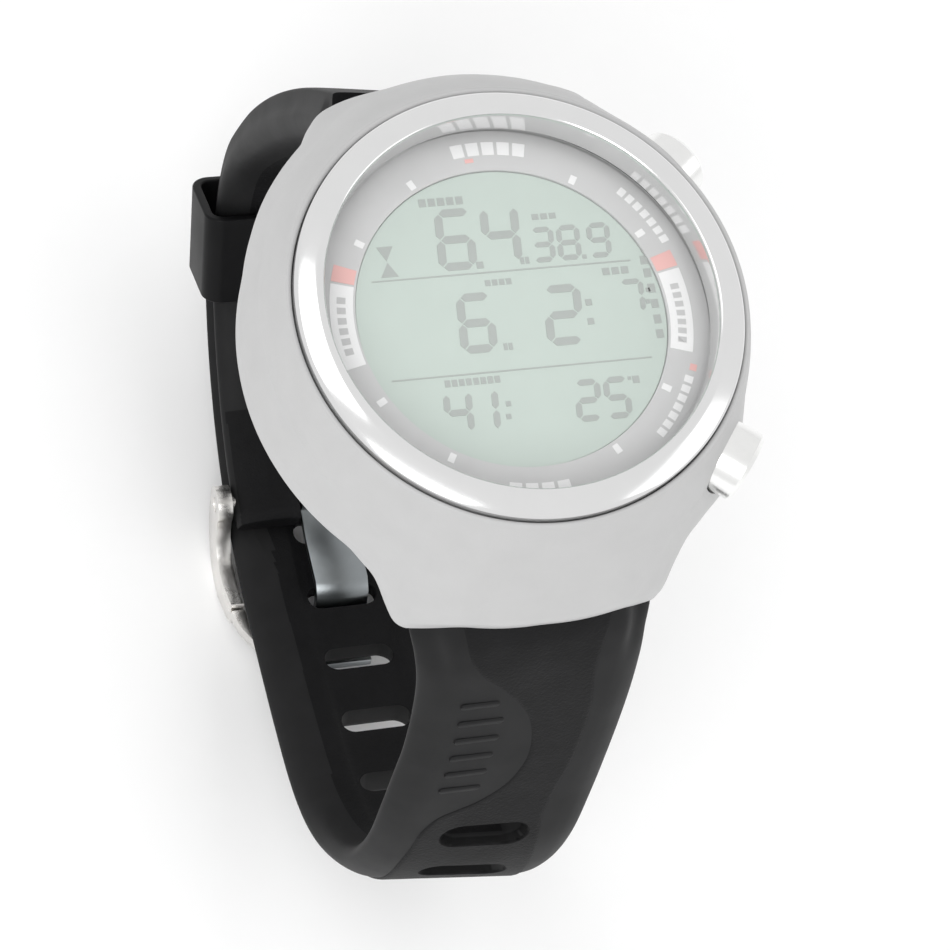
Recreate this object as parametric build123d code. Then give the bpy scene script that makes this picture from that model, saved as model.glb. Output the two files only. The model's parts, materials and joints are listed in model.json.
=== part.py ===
from build123d import *
from math import cos, hypot, radians, sin
import os

# Wrist dive computer with its strap buckled in a closed loop. Millimetres.
# +Z is the dial's outward normal, +Y points to 12 o'clock and +X to 3 o'clock.
# The origin is the centre of the flat case back, where it lies on the wrist.

# ---------------------------------------------------------------- driving dimensions
WINDOW_R = 18.0            # visible round display window
LENS_R = 23.2
RING_R = 22.9              # printed ring under the lens
BEZEL_IN_R = 22.4
BEZEL_OUT_R = 25.7
CASE_R = 29.6
LUG_HALF_W = 15.4
CAVITY_R = 22.1            # module cavity
SHELF_R = 19.5             # opening through the screw shelf
BACK_R = 23.9              # case-back disc

BACK_T = 1.8
SHELF_TOP_Z = 5.2
PCB_Z = 6.0
PCB_T = 0.8
LCD_Z = 9.6
RING_Z = 11.5
PRINT_Z = 12.0             # top of the printed ring
LENS_TOP_Z = 13.5
BEZEL_TOP_Z = 17.5
CREASE_Z = 9.0

BUTTON_ANGLES = {"up": 38.0, "down": -38.0}
BUTTON_Z = 8.0
BUTTON_R = 4.2
BUTTON_TIP = 31.5
STEM_R = 1.2
POCKET_FLOOR = 26.4

BATTERY_R, BATTERY_T = 12.25, 3.0
BATTERY_Y = -6.0
BATTERY_Z = 2.2
COVER_R = 14.0
SENSOR_Y = 14.0
SENSOR_R = 4.3

# The strap line runs between the two strap halves: it is the inner face of the long
# half and the outer face of the short half. It is a chain of tangent arcs in the YZ
# plane, from the 6 o'clock lug, under the wrist, to the 12 o'clock lug.
LINE_START = (-26.4, -2.2)
LINE_HEADING = -115.0
LINE_ARCS = [(41, 6), (49, 91), (22, 0), (45, 51), (34, 69), (26, 9), (30, 7)]  # length, turn
LINE_LENGTH = sum(length for length, _ in LINE_ARCS)

# Tables of (distance along the strap line, value).
STRAP_WIDTHS = [(0, 14.9), (6, 13.9), (14, 13.2), (200, 13.2), (LINE_LENGTH, 15.4)]
LONG_THICKNESS = [(0, 7.0), (25, 5.0), (95, 5.0), (108, 3.9), (150, 3.9), (174, 3.0)]
SHORT_THICKNESS = [(184, 4.4), (202, 5.4), (LINE_LENGTH, 7.0)]
LAYER_GAP = 0.15           # each half stands this far off the strap line
STEP = 4.0                 # spacing of the strap's cross-sections
INLAY_T = 1.2
INLAY_HALF_W = 8.8
TIP_S = 174.0              # end of the long half, on the strap line
SLOT_L, SLOT_W, SLOT_PITCH = 10.0, 3.5, 10.33
TONGUE_SLOT_S = 114.2      # the slot that holds the tongue
SLOTS_BEFORE, SLOTS_AFTER = 7, 5

PIN_S, PIN_N = 129.0, -2.1  # spring bar of the buckle
PIN_R = 1.0
ARM_IN, ARM_OUT = 13.7, 15.7  # the buckle's arms, inside and outside half-widths
ARM_W, BAR_T = 4.6, 2.4
BAR_S, BAR_N = 110.5, 5.5
TONGUE_T, TONGUE_HALF_W = 1.2, 3.7
PLATE_N = -0.75            # middle of the tongue's plate, inside the strap line
KEEPER_S = 168.0
KEEPER_HALF_L = 6.6
KEEPER_T = 1.2
KEEPER_HALF_W = 13.75      # half-width of its opening
KEEPER_LOW, KEEPER_HIGH = -5.8, 3.9

LUG_PIN_R = 0.9
LUG_PIN_S = 2.0            # distance of the lug pins from the ends of the strap line
RUN = 0.05                 # radial clearance of a running fit


# ---------------------------------------------------------------- small helpers
def turned(*corners):
    """Solid of revolution about Z from (radius, height) corners."""
    outline = Polyline(*[(r, 0, z) for r, z in corners], close=True)
    return revolve(make_face(outline), Axis.Z, 360)


def disc(r, z0, z1, x=0.0, y=0.0):
    """Cylinder of radius r along Z."""
    return Pos(x, y, z0) * Cylinder(r, z1 - z0, align=(Align.CENTER, Align.CENTER, Align.MIN))


def ring(r_in, r_out, z0, z1, x=0.0, y=0.0):
    """Flat ring with a rectangular section."""
    return disc(r_out, z0, z1, x, y) - disc(r_in, z0 - 1, z1 + 1, x, y)


def block(x0, x1, y0, y1, z0, z1):
    """Box from its lowest to its highest corner."""
    return Pos((x0 + x1) / 2, (y0 + y1) / 2, (z0 + z1) / 2) * Box(x1 - x0, y1 - y0, z1 - z0)


def plate_yz(corners, half_width):
    """Prism across X from (y, z) corners."""
    outline = Polyline(*[(0, y, z) for y, z in corners], close=True)
    return extrude(make_face(outline), half_width, dir=(1, 0, 0), both=True)


def rod_x(r, y, z, half_width):
    """Round bar across X."""
    return Pos(0, y, z) * Rot(0, 90, 0) * Cylinder(r, 2 * half_width)


def along(angle):
    """Frame at the button height whose local Z is the radial direction at this angle."""
    direction = (cos(radians(angle)), sin(radians(angle)), 0)
    return Plane(origin=(0, 0, BUTTON_Z), z_dir=direction, x_dir=(0, 0, 1)).location


def radial_rod(angle, r, start, end):
    """Cylinder on a button axis, between two distances from the dial axis."""
    rod = Cylinder(r, end - start, align=(Align.CENTER, Align.CENTER, Align.MIN))
    return along(angle) * Pos(0, 0, start) * rod


# ---------------------------------------------------------------- strap line
def line_at(s):
    """Point (y, z) and heading in radians on the strap line, s from the 6 o'clock lug."""
    y, z = LINE_START
    heading = radians(LINE_HEADING)
    for number, (length, turn) in enumerate(LINE_ARCS):
        last = number == len(LINE_ARCS) - 1
        run = s if last or s < length else length
        bend = radians(turn) * run / length
        chord = run * (sin(bend / 2) / (bend / 2)) if abs(bend) > 1e-9 else run
        y += chord * cos(heading + bend / 2)
        z += chord * sin(heading + bend / 2)
        heading += bend
        s -= run
        if s <= 0:
            break
    return y, z, heading


def line_point(s, n=0.0):
    """Point (y, z) that stands n outside the strap line."""
    y, z, heading = line_at(s)
    return y + n * sin(heading), z - n * cos(heading)


def line_frame(s, n=0.0):
    """Location on the strap line: local X across the strap, local Z outwards."""
    y, z, heading = line_at(s)
    outwards = (0, sin(heading), -cos(heading))
    point = line_point(s, n)
    return Plane(origin=(0, *point), x_dir=(1, 0, 0), z_dir=outwards).location


def from_table(table, s):
    """Value at s, straight between the table's rows and level beyond its ends."""
    for (s0, v0), (s1, v1) in zip(table, table[1:]):
        if s <= s1:
            return v0 + (v1 - v0) * max(0.0, s - s0) / (s1 - s0)
    return table[-1][1]


def section(s, wide_n, thickness, half_width, narrow_half_width):
    """Cross-section: a wide face at wide_n, and sides that slope to the narrower textured face."""
    right = [
        (half_width - 1.2, wide_n),
        (half_width, wide_n + 0.26 * thickness),
        ((half_width + narrow_half_width) / 2 + 0.9, wide_n + 0.68 * thickness),
        (narrow_half_width, wide_n + thickness),
    ]
    corners = right + [(-x, n) for x, n in reversed(right)]
    return make_face(Polyline(*[(x, *line_point(s, n)) for x, n in corners], close=True))


def stations(start, end):
    """Evenly spaced places along the strap line."""
    count = max(2, round((end - start) / STEP) + 1)
    return [start + (end - start) * i / (count - 1) for i in range(count)]


def strip(start, end, half_width, low, high):
    """Plain rectangular layer along the strap line."""
    faces = []
    for s in stations(start, end):
        corners = [(-half_width, low(s)), (half_width, low(s)), (half_width, high(s)), (-half_width, high(s))]
        faces.append(make_face(Polyline(*[(x, *line_point(s, n)) for x, n in corners], close=True)))
    return loft(faces, ruled=True)


# ---------------------------------------------------------------- case and display
def lug(side):
    """One of the two lug blocks, side +1 at 12 o'clock and -1 at 6 o'clock."""
    outer = line_point(LINE_LENGTH) if side > 0 else line_point(0, 7.0)
    inner = line_point(LINE_LENGTH, -7.0) if side > 0 else line_point(0)
    top = [(side * 16, 0.2), (side * 16, 14.5), (side * 26.5, 14.5), (side * 31.0, 8.0)]
    return plate_yz(top + [outer, inner, (side * 24.0, 0.2)], LUG_HALF_W)


def case_body():
    """Moulded case: round shell with lugs, module cavity, seats and button pockets."""
    shell = turned(
        (0, 0), (28.4, 0), (CASE_R, 1.4), (CASE_R, 4.0), (28.2, CREASE_Z), (26.9, 15.0),
        (26.4, 16.0), (25.8, 15.6), (0, 15.6),
    )
    body = shell + lug(1) + lug(-1)
    for angle in BUTTON_ANGLES.values():
        body += radial_rod(angle, BUTTON_R + 1.7, 24.0, 30.0)
    body -= disc(BEZEL_OUT_R + RUN, 13.55, 40)
    body -= disc(24.15, PRINT_Z + 0.02, 20)
    body -= disc(RING_R + RUN, RING_Z - 0.05, 20)
    body -= disc(CAVITY_R, SHELF_TOP_Z, 20)
    body -= disc(SHELF_R, -1, 10)
    body -= disc(BACK_R + RUN, -1, BACK_T)
    body -= ring(20.0, 20.9, 0, 2.5)
    for angle in BUTTON_ANGLES.values():
        body -= radial_rod(angle, BUTTON_R + 0.12, POCKET_FLOOR, 40)
        body -= radial_rod(angle, STEM_R + RUN, 20, 30)
        body -= radial_rod(angle, 2.0, 24.6, POCKET_FLOOR + 0.01)
    for number in range(4):
        x, y = screw_place(number)
        body -= disc(0.7, 0, 4.7, x, y)
    for side in (1, -1):
        body -= lug_pocket(side)
        y, z = lug_pin_place(side)
        body -= rod_x(LUG_PIN_R + 0.02, y, z, 13.5)
    return body


def lug_pin_place(side):
    """(y, z) of a strap pin, in the middle of the strap's end block."""
    if side > 0:
        return line_point(LINE_LENGTH + LUG_PIN_S, -3.4)
    return line_point(-LUG_PIN_S, 3.6)


def end_block(side, grow):
    """Rubber block of a strap half that sits inside the lug, or its pocket with grow > 0."""
    if side > 0:
        s0, s1, low, high = LINE_LENGTH - 1.8, LINE_LENGTH + 4.2, -6.3, -0.9
    else:
        s0, s1, low, high = -4.2, 1.8, 0.9, 6.2
    low, high = low - (grow + 6 if grow else 0), high + grow
    places = [(s0 - grow, low), (s1 + grow, low), (s1 + grow, high), (s0 - grow, high)]
    return plate_yz([line_point(s, n) for s, n in places], 9.0 + grow)


def lug_pocket(side):
    """Room in the lug for the strap's end block, open towards the wrist."""
    return end_block(side, 0.15)


def screw_place(number):
    """(x, y) of a case-back screw."""
    angle = radians(45 + 90 * number)
    return 22.3 * cos(angle), 22.3 * sin(angle)


def bezel():
    """Polished steel ring with a rounded crest and a conical outer face."""
    return turned(
        (BEZEL_IN_R, 13.6), (BEZEL_IN_R, 16.7), (22.55, 17.2), (22.85, BEZEL_TOP_Z), (23.3, BEZEL_TOP_Z),
        (25.45, 16.5), (BEZEL_OUT_R, 16.2), (BEZEL_OUT_R, 13.6),
    )


def lens():
    """Flat mineral glass with a ground edge."""
    return turned(
        (0, PRINT_Z + 0.05), (LENS_R, PRINT_Z + 0.05), (LENS_R, LENS_TOP_Z - 0.3),
        (LENS_R - 0.3, LENS_TOP_Z), (0, LENS_TOP_Z),
    )


def display_parts():
    """Everything under the lens that stays in the case."""
    board = disc(20.3, PCB_Z, PCB_Z + PCB_T)
    parts = {
        "lens_gasket": ring(LENS_R + 0.02, 24.1, PRINT_Z + 0.05, LENS_TOP_Z),
        "dial_ring": ring(WINDOW_R, RING_R, RING_Z, PRINT_Z),
        "lcd_cell": turned((0, LCD_Z), (19.2, LCD_Z), (19.2, 11.4), (17.9, 11.4), (17.9, 11.7), (0, 11.7)),
        "backlight": disc(19.0, 8.5, 9.55) & block(-25, 25, -14.4, 14.4, 8, 10),
        "circuit_board": board - disc(1.0, 5, 8, 17.0, 8.0) - disc(1.0, 5, 8, -17.0, -8.0),
        "processor": block(-3.5, 3.5, -3.5, 3.5, PCB_Z + PCB_T, 7.8),
        "memory_chip": block(6.0, 9.0, -2.5, 2.5, PCB_Z + PCB_T, 7.6),
        "crystal": block(-10.5, -8.5, -3.5, 3.5, PCB_Z + PCB_T, 8.0),
        "connector_strips": [
            block(-9, 9, 14.8, 16.2, PCB_Z + PCB_T, LCD_Z),
            block(-9, 9, -16.2, -14.8, PCB_Z + PCB_T, LCD_Z),
        ],
    }
    frame = ring(19.3, 22.0, 8.4, 11.4)
    for angle in BUTTON_ANGLES.values():
        frame -= radial_rod(angle, 3.2, 18, 24)
    parts["module_frame"] = frame
    switch = block(-1.15, 0.4, -2.4, 2.4, 17.0, 19.2)
    switch += Pos(-0.4, 0, 19.2) * Cylinder(0.5, 0.9, align=(Align.CENTER, Align.CENTER, Align.MIN))
    parts["button_switches"] = [along(angle) * switch for angle in BUTTON_ANGLES.values()]
    return parts


# ---------------------------------------------------------------- battery, sensor, back
def power_parts():
    """Battery with its tray and contacts, buzzer and pressure sensor."""
    y = BATTERY_Y
    battery_top = BATTERY_Z + BATTERY_T
    can = turned(
        (0, 0.25), (10.6, 0.25), (10.6, 0), (BATTERY_R - 0.4, 0), (BATTERY_R, 0.4),
        (BATTERY_R, BATTERY_T), (0, BATTERY_T),
    )
    spring_leaf = block(-1.5, 1.5, y - 5, y + 5, battery_top + 0.02, battery_top + 0.27)
    spring_leaf += block(-1.5, 1.5, y + 4.75, y + 5, battery_top + 0.02, PCB_Z)
    side_leaf = block(-2, 2, y - 12.75, y - 12.5, 2.6, PCB_Z)
    side_leaf += block(-2, 2, y - 12.75, y - 12.0, PCB_Z - 0.25, PCB_Z)
    tray = ring(12.9, 13.4, BACK_T + 0.05, PCB_Z - 0.05, 0, y) - block(-12, 12, y + 8.4, 25, 0, 8)
    sensor = disc(SENSOR_R, 3.0, 5.9, 0, SENSOR_Y) + disc(2.0, 2.3, 3.0, 0, SENSOR_Y)
    return {
        "battery": Pos(0, y, BATTERY_Z) * can,
        "battery_contact_centre": spring_leaf,
        "battery_contact_side": side_leaf,
        "battery_tray": tray,
        "buzzer": disc(4.2, 3.2, 5.9, -11.6, 9.0) + disc(1.2, 2.8, 3.2, -11.6, 9.0),
        "pressure_sensor": sensor,
        "sensor_seal": ring(2.4, 3.4, BACK_T + 0.02, 2.98, 0, SENSOR_Y),
    }


def back_parts():
    """Case back with its gasket and screws, and the battery cover with its seal."""
    plate = disc(BACK_R, 0, BACK_T)
    plate -= disc(COVER_R + RUN, -1, 3, 0, BATTERY_Y)
    for number in range(7):
        r, angle = (0, 0) if number == 0 else (1.6, radians(60 * number))
        plate -= disc(0.35, -1, 3, r * cos(angle), SENSOR_Y + 2.6 + r * sin(angle))
    screws = []
    for number in range(4):
        x, y = screw_place(number)
        plate -= disc(0.75, -1, 3, x, y) + disc(1.35, -1, 0.9, x, y)
        screw = disc(0.68, 0.9, 4.6, x, y) + disc(1.25, 0.05, 0.9, x, y)
        screws.append(screw - block(x - 1.3, x + 1.3, y - 0.18, y + 0.18, -0.1, 0.4))
    cover = disc(COVER_R, 0, BACK_T) - disc(11.5, 1.2, 3)
    cover -= ring(13.2, 15.0, 0.55, 1.25)
    cover -= block(-8, 8, -0.7, 0.7, -0.5, 0.6)
    seal = ring(13.25, 13.98, 0.6, 1.2)
    return {
        "case_back": plate,
        "case_back_gasket": ring(20.05, 20.85, BACK_T, 2.48),
        "case_back_screws": screws,
        "battery_cover": Pos(0, BATTERY_Y, 0) * cover,
        "battery_cover_seal": Pos(0, BATTERY_Y, 0) * seal,
    }


# ---------------------------------------------------------------- buttons
def button_parts(name, angle):
    """Push button: hollow cap with its stem, retaining clip, return spring and O-ring."""
    cap = Cylinder(BUTTON_R, BUTTON_TIP - 27.6, align=(Align.CENTER, Align.CENTER, Align.MIN))
    cap = chamfer(cap.faces().sort_by(Axis.Z)[-1].edges(), 0.5)
    cap -= Cylinder(3.3, 2.4, align=(Align.CENTER, Align.CENTER, Align.MIN))
    button = along(angle) * Pos(0, 0, 27.6) * cap
    button += radial_rod(angle, STEM_R, 21.6, 30.2)
    button -= radial_rod(angle, 2.0, 21.75, 22.05) - radial_rod(angle, 0.85, 21, 23)
    clip = radial_rod(angle, 2.1, 21.78, 22.02) - radial_rod(angle, 0.88, 21, 23)
    clip -= along(angle) * Pos(1.5, 0, 21.9) * Box(3, 1.4, 1)
    helix = Helix(pitch=0.62, height=2.9, radius=2.55)
    wire_section = Plane(origin=helix @ 0, z_dir=helix % 0) * Circle(0.17)
    spring = along(angle) * Pos(0, 0, 26.75) * sweep(wire_section, path=helix, is_frenet=True)
    seal = along(angle) * Pos(0, 0, 25.5) * Torus(1.62, 0.37)
    return {
        f"{name}_button": button,
        f"{name}_button_clip": clip,
        f"{name}_button_spring": spring,
        f"{name}_button_seal": seal,
    }


# ---------------------------------------------------------------- strap
def slot_places():
    """Distances of the adjustment slots along the strap line."""
    return [TONGUE_SLOT_S + SLOT_PITCH * k for k in range(-SLOTS_BEFORE, SLOTS_AFTER + 1)]


def long_strap_parts():
    """Long half with its textured inlay, cut through by the adjustment slots."""
    faces = []
    for s in stations(0.15, TIP_S - 6):
        thickness = from_table(LONG_THICKNESS, s)
        faces.append(section(s, LAYER_GAP, thickness, from_table(STRAP_WIDTHS, s), 9.3))
    for s, share in ((TIP_S - 3.5, 0.9), (TIP_S - 1.2, 0.72), (TIP_S, 0.5)):
        thickness = from_table(LONG_THICKNESS, s) * share ** 0.5
        faces.append(section(s, LAYER_GAP, thickness, from_table(STRAP_WIDTHS, s) * share, 9.3 * share))
    core = loft(faces, ruled=True)
    skin = strip(
        2.0, TIP_S - 8, INLAY_HALF_W,
        lambda s: LAYER_GAP + from_table(LONG_THICKNESS, s) - INLAY_T,
        lambda s: LAYER_GAP + from_table(LONG_THICKNESS, s) + 1.0,
    )
    inlay = core & skin
    core -= skin
    core += end_block(-1, 0)
    core -= rod_x(LUG_PIN_R + RUN, *lug_pin_place(-1), 20)
    for s in slot_places():
        slot = line_frame(s) * extrude(SlotOverall(SLOT_L, SLOT_W), 12, both=True)
        core -= slot
        inlay -= slot
    return {"long_strap": core, "long_strap_inlay": inlay}


def short_strap_parts():
    """Short half with its textured inlay and the knuckle round the spring bar."""
    faces = []
    for s in stations(PIN_S - 3.7, LINE_LENGTH - 0.15):
        thickness = from_table(SHORT_THICKNESS, s)
        faces.append(section(s, -LAYER_GAP, -thickness, from_table(STRAP_WIDTHS, s) - 0.2, 9.3))
    core = loft(faces, ruled=True)
    skin = strip(
        PIN_S + 5, LINE_LENGTH - 2, INLAY_HALF_W,
        lambda s: -LAYER_GAP - from_table(SHORT_THICKNESS, s) - 1.0,
        lambda s: -LAYER_GAP - from_table(SHORT_THICKNESS, s) + INLAY_T,
    )
    inlay = core & skin
    core -= skin
    core += end_block(1, 0)
    core -= rod_x(LUG_PIN_R + RUN, *lug_pin_place(1), 20)
    core -= rod_x(PIN_R + RUN, *line_point(PIN_S, PIN_N), 20)
    core -= line_frame(PIN_S - 3.0, -2.0) * Box(8.6, 13.0, 6.0)
    return {"short_strap": core, "short_strap_inlay": inlay}


def keeper():
    """Free loop round both strap halves: straight, so it stands off the curved strap at its ends."""
    width, height = 2 * KEEPER_HALF_W, KEEPER_HIGH - KEEPER_LOW
    middle = Pos(0, 0, (KEEPER_HIGH + KEEPER_LOW) / 2)
    loop = Box(width + 2 * KEEPER_T, 2 * KEEPER_HALF_L, height + 2 * KEEPER_T)
    opening = Box(width, 3 * KEEPER_HALF_L, height)
    loop = fillet(loop.edges().filter_by(Axis.Y), 2.6)
    opening = fillet(opening.edges().filter_by(Axis.Y), 1.5)
    loop = fillet((loop - opening).faces().filter_by(Axis.Y).edges(), 0.3)
    return line_frame(KEEPER_S) * middle * loop


# ---------------------------------------------------------------- buckle
def band(points, thickness):
    """(y, z) outline of a bent strip: its centre line thickened to both sides."""
    sides = []
    for number, (y, z) in enumerate(points):
        before, after = points[max(number - 1, 0)], points[min(number + 1, len(points) - 1)]
        dy, dz = after[0] - before[0], after[1] - before[1]
        size = hypot(dy, dz) * 2 / thickness
        sides.append(((y - dz / size, z + dy / size), (y + dz / size, z - dy / size)))
    return [a for a, _ in sides] + [b for _, b in reversed(sides)]


def softened(points):
    """Rounds the corners of an open line by cutting them twice; the ends stay."""
    for _ in range(2):
        cut = [points[0]]
        for (y0, z0), (y1, z1) in zip(points, points[1:]):
            cut.append((0.75 * y0 + 0.25 * y1, 0.75 * z0 + 0.25 * z1))
            cut.append((0.25 * y0 + 0.75 * y1, 0.25 * z0 + 0.75 * z1))
        points = cut + [points[-1]]
    return points


def buckle_frame():
    """Bowed steel frame: two arms on the spring bar, joined by the outer bar under the strap."""
    y, z = line_point(PIN_S, PIN_N)
    knee = [(0, 0), (-1.4, -3.4), (-4.2, -6.0), (-7.2, -7.0), (-10.6, -6.1), (-14.4, -5.0)]
    knee = [(y + dy, z + dz) for dy, dz in knee]
    bar = [knee[-1], line_point(BAR_S + 1.3, BAR_N), line_point(BAR_S - 1.3, BAR_N)]
    side = plate_yz(band(softened(knee), ARM_W), 20) + plate_yz(band(softened(bar), BAR_T), 20)
    side += rod_x(ARM_W / 2 + 0.3, y, z, 20)
    bar_y = bar[-1][0]
    outline = [(ARM_OUT, 25), (ARM_OUT, 5), (15.2, 1.6), (14.3, -1.2), (12.8, -3.6), (10.8, bar_y - 1)]
    window = [(ARM_IN, 25), (ARM_IN, 3), (13.2, 0.8), (12.2, -1.4), (11.0, bar_y + 2.7)]
    return (side & plan_prism(outline)) - plan_prism(window) - rod_x(PIN_R + RUN, y, z, 20)


def plan_prism(right_edge):
    """Tall prism along Z from the (x, y) corners of its right edge, mirrored to the left."""
    corners = right_edge + [(-x, y) for x, y in reversed(right_edge)]
    outline = Polyline(*[(x, y, -110) for x, y in corners], close=True)
    return extrude(make_face(outline), 40, dir=(0, 0, 1))


def buckle_tongue():
    """Flat tongue: eye on the spring bar, plate on the strap, bend through the slot."""
    y, z = line_point(PIN_S, PIN_N)
    s = TONGUE_SLOT_S
    route = [
        line_point(PIN_S - 0.5, PLATE_N), line_point(s + 8, PLATE_N), line_point(s + 1.6, PLATE_N),
        line_point(s + 0.4, PLATE_N + 1.0), line_point(s - 0.4, 4.6), line_point(s - 1.0, 6.95),
        line_point(s - 2.8, 8.2), line_point(s - 6.4, 8.2),
    ]
    tongue = plate_yz(band(route, TONGUE_T), TONGUE_HALF_W) + rod_x(1.95, y, z, TONGUE_HALF_W)
    return tongue - rod_x(PIN_R + RUN, y, z, 20)


def buckle_pin():
    """Spring bar through the arms, the tongue and the short strap's end."""
    y, z = line_point(PIN_S, PIN_N)
    return rod_x(PIN_R, y, z, ARM_OUT - 0.1)


def build():
    """All nodes by name; a list is a group of identical solids."""
    nodes = {"case_body": case_body(), "bezel": bezel(), "lens": lens()}
    nodes.update(display_parts())
    nodes.update(power_parts())
    nodes.update(back_parts())
    for name, angle in BUTTON_ANGLES.items():
        nodes.update(button_parts(name, angle))
    nodes["strap_pins"] = [rod_x(LUG_PIN_R, *lug_pin_place(side), 13.3) for side in (1, -1)]
    nodes.update(long_strap_parts())
    nodes.update(short_strap_parts())
    nodes["keeper_loop"] = keeper()
    nodes["buckle_frame"] = buckle_frame()
    nodes["buckle_tongue"] = buckle_tongue()
    nodes["buckle_pin"] = buckle_pin()
    return nodes


os.makedirs("parts", exist_ok=True)
for name, shape in build().items():
    solid = Compound(children=shape) if isinstance(shape, list) else shape
    export_step(solid, f"parts/{name}.step")
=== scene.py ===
import json
from math import cos, hypot, pi, radians, sin

import bpy
import bmesh
import numpy as np
from mathutils import Matrix, Vector

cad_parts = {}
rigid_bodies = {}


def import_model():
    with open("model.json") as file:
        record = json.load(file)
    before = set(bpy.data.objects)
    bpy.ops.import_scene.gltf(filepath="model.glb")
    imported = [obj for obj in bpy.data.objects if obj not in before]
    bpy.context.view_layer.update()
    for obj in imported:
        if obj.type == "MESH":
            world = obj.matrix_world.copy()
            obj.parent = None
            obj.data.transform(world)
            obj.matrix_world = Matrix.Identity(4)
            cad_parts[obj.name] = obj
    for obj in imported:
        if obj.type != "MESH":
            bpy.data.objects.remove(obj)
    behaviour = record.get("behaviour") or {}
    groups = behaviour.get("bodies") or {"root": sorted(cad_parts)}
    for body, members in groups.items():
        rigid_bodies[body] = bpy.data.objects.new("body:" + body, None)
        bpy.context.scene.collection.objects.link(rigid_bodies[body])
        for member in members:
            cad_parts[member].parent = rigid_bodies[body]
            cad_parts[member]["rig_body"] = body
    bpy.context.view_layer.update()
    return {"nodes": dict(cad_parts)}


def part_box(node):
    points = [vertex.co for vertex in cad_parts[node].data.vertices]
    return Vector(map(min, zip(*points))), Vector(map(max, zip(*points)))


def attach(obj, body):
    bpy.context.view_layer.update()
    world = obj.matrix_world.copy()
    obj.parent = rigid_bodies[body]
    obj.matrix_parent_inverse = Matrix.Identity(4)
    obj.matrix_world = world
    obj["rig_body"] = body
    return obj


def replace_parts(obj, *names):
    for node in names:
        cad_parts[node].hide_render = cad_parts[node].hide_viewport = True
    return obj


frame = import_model()
MM = 0.001


# ---------------------------------------------------------------- materials
class Nodes:
    """Small helper that builds one node material."""

    def __init__(self, name):
        self.material = bpy.data.materials.new(name)
        self.material.use_nodes = True
        self.tree = self.material.node_tree
        self.shader = self.tree.nodes["Principled BSDF"]
        self.place = self.add("ShaderNodeTexCoord").outputs["Object"]

    def add(self, kind, **settings):
        node = self.tree.nodes.new(kind)
        for key, value in settings.items():
            setattr(node, key, value)
        return node

    def link(self, source, target):
        self.tree.links.new(source, target)

    def noise(self, scale, detail=3.0, roughness=0.55, stretch=None):
        node = self.add("ShaderNodeTexNoise")
        node.inputs["Scale"].default_value = scale
        node.inputs["Detail"].default_value = detail
        node.inputs["Roughness"].default_value = roughness
        source = self.place
        if stretch:
            mapping = self.add("ShaderNodeMapping")
            mapping.inputs["Scale"].default_value = stretch
            self.link(source, mapping.inputs["Vector"])
            source = mapping.outputs["Vector"]
        self.link(source, node.inputs["Vector"])
        return node.outputs["Fac"]

    def spread(self, source, low, high):
        node = self.add("ShaderNodeMapRange")
        node.inputs["From Min"].default_value = 0.25
        node.inputs["From Max"].default_value = 0.75
        node.inputs["To Min"].default_value = low
        node.inputs["To Max"].default_value = high
        self.link(source, node.inputs["Value"])
        return node.outputs["Result"]

    def tint(self, source, dark, light):
        node = self.add("ShaderNodeValToRGB")
        node.color_ramp.elements[0].position = 0.3
        node.color_ramp.elements[0].color = (*dark, 1)
        node.color_ramp.elements[1].position = 0.7
        node.color_ramp.elements[1].color = (*light, 1)
        self.link(source, node.inputs["Fac"])
        self.link(node.outputs["Color"], self.shader.inputs["Base Color"])

    def bump(self, *layers):
        """Chained bumps from (height source, strength, distance in metres)."""
        normal = None
        for source, strength, distance in layers:
            node = self.add("ShaderNodeBump")
            node.inputs["Strength"].default_value = strength
            node.inputs["Distance"].default_value = distance
            self.link(source, node.inputs["Height"])
            if normal:
                self.link(normal, node.inputs["Normal"])
            normal = node.outputs["Normal"]
        self.link(normal, self.shader.inputs["Normal"])


def surface(name, color, vary=0.08, rough=(0.4, 0.5), metal=0.0, grain=(4000, 0.15, 0.00004),
            pores=None, brushed=None, coat=0.0, specular=0.5, glow=0.0):
    """Material with mottled colour, uneven roughness and a fine relief."""
    m = Nodes(name)
    mottling = m.noise(260, 4.0)
    dark = tuple(c * (1 - vary) for c in color)
    light = tuple(min(1.0, c * (1 + vary)) for c in color)
    m.tint(mottling, dark, light)
    smudges = m.noise(90, 5.0, 0.6)
    m.link(m.spread(smudges, *rough), m.shader.inputs["Roughness"])
    m.shader.inputs["Metallic"].default_value = metal
    m.shader.inputs["Specular IOR Level"].default_value = specular
    m.shader.inputs["Coat Weight"].default_value = coat
    m.shader.inputs["Coat Roughness"].default_value = 0.12
    if glow:
        m.shader.inputs["Emission Color"].default_value = (*color, 1)
        m.shader.inputs["Emission Strength"].default_value = glow
    layers = [(m.noise(grain[0], 2.0), grain[1], grain[2])]
    if pores:
        layers.append((m.noise(pores[0], 1.0), pores[1], pores[2]))
    if brushed:
        layers.append((m.noise(1200, 2.0, 0.5, brushed), 0.25, 0.00003))
    m.bump(*layers)
    return m.material


def glass_material(name, tint, alpha):
    """Clear glass that shows what is behind it without bending it, with sharp reflections on top."""
    m = Nodes(name)
    m.tint(m.noise(60, 2.0), tint, tint)
    m.link(m.spread(m.noise(40, 3.0), 0.02, 0.05), m.shader.inputs["Roughness"])
    m.shader.inputs["Specular IOR Level"].default_value = 0.35
    m.shader.inputs["Alpha"].default_value = alpha
    m.bump((m.noise(50, 1.0), 0.02, 0.00001))
    return m.material


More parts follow.
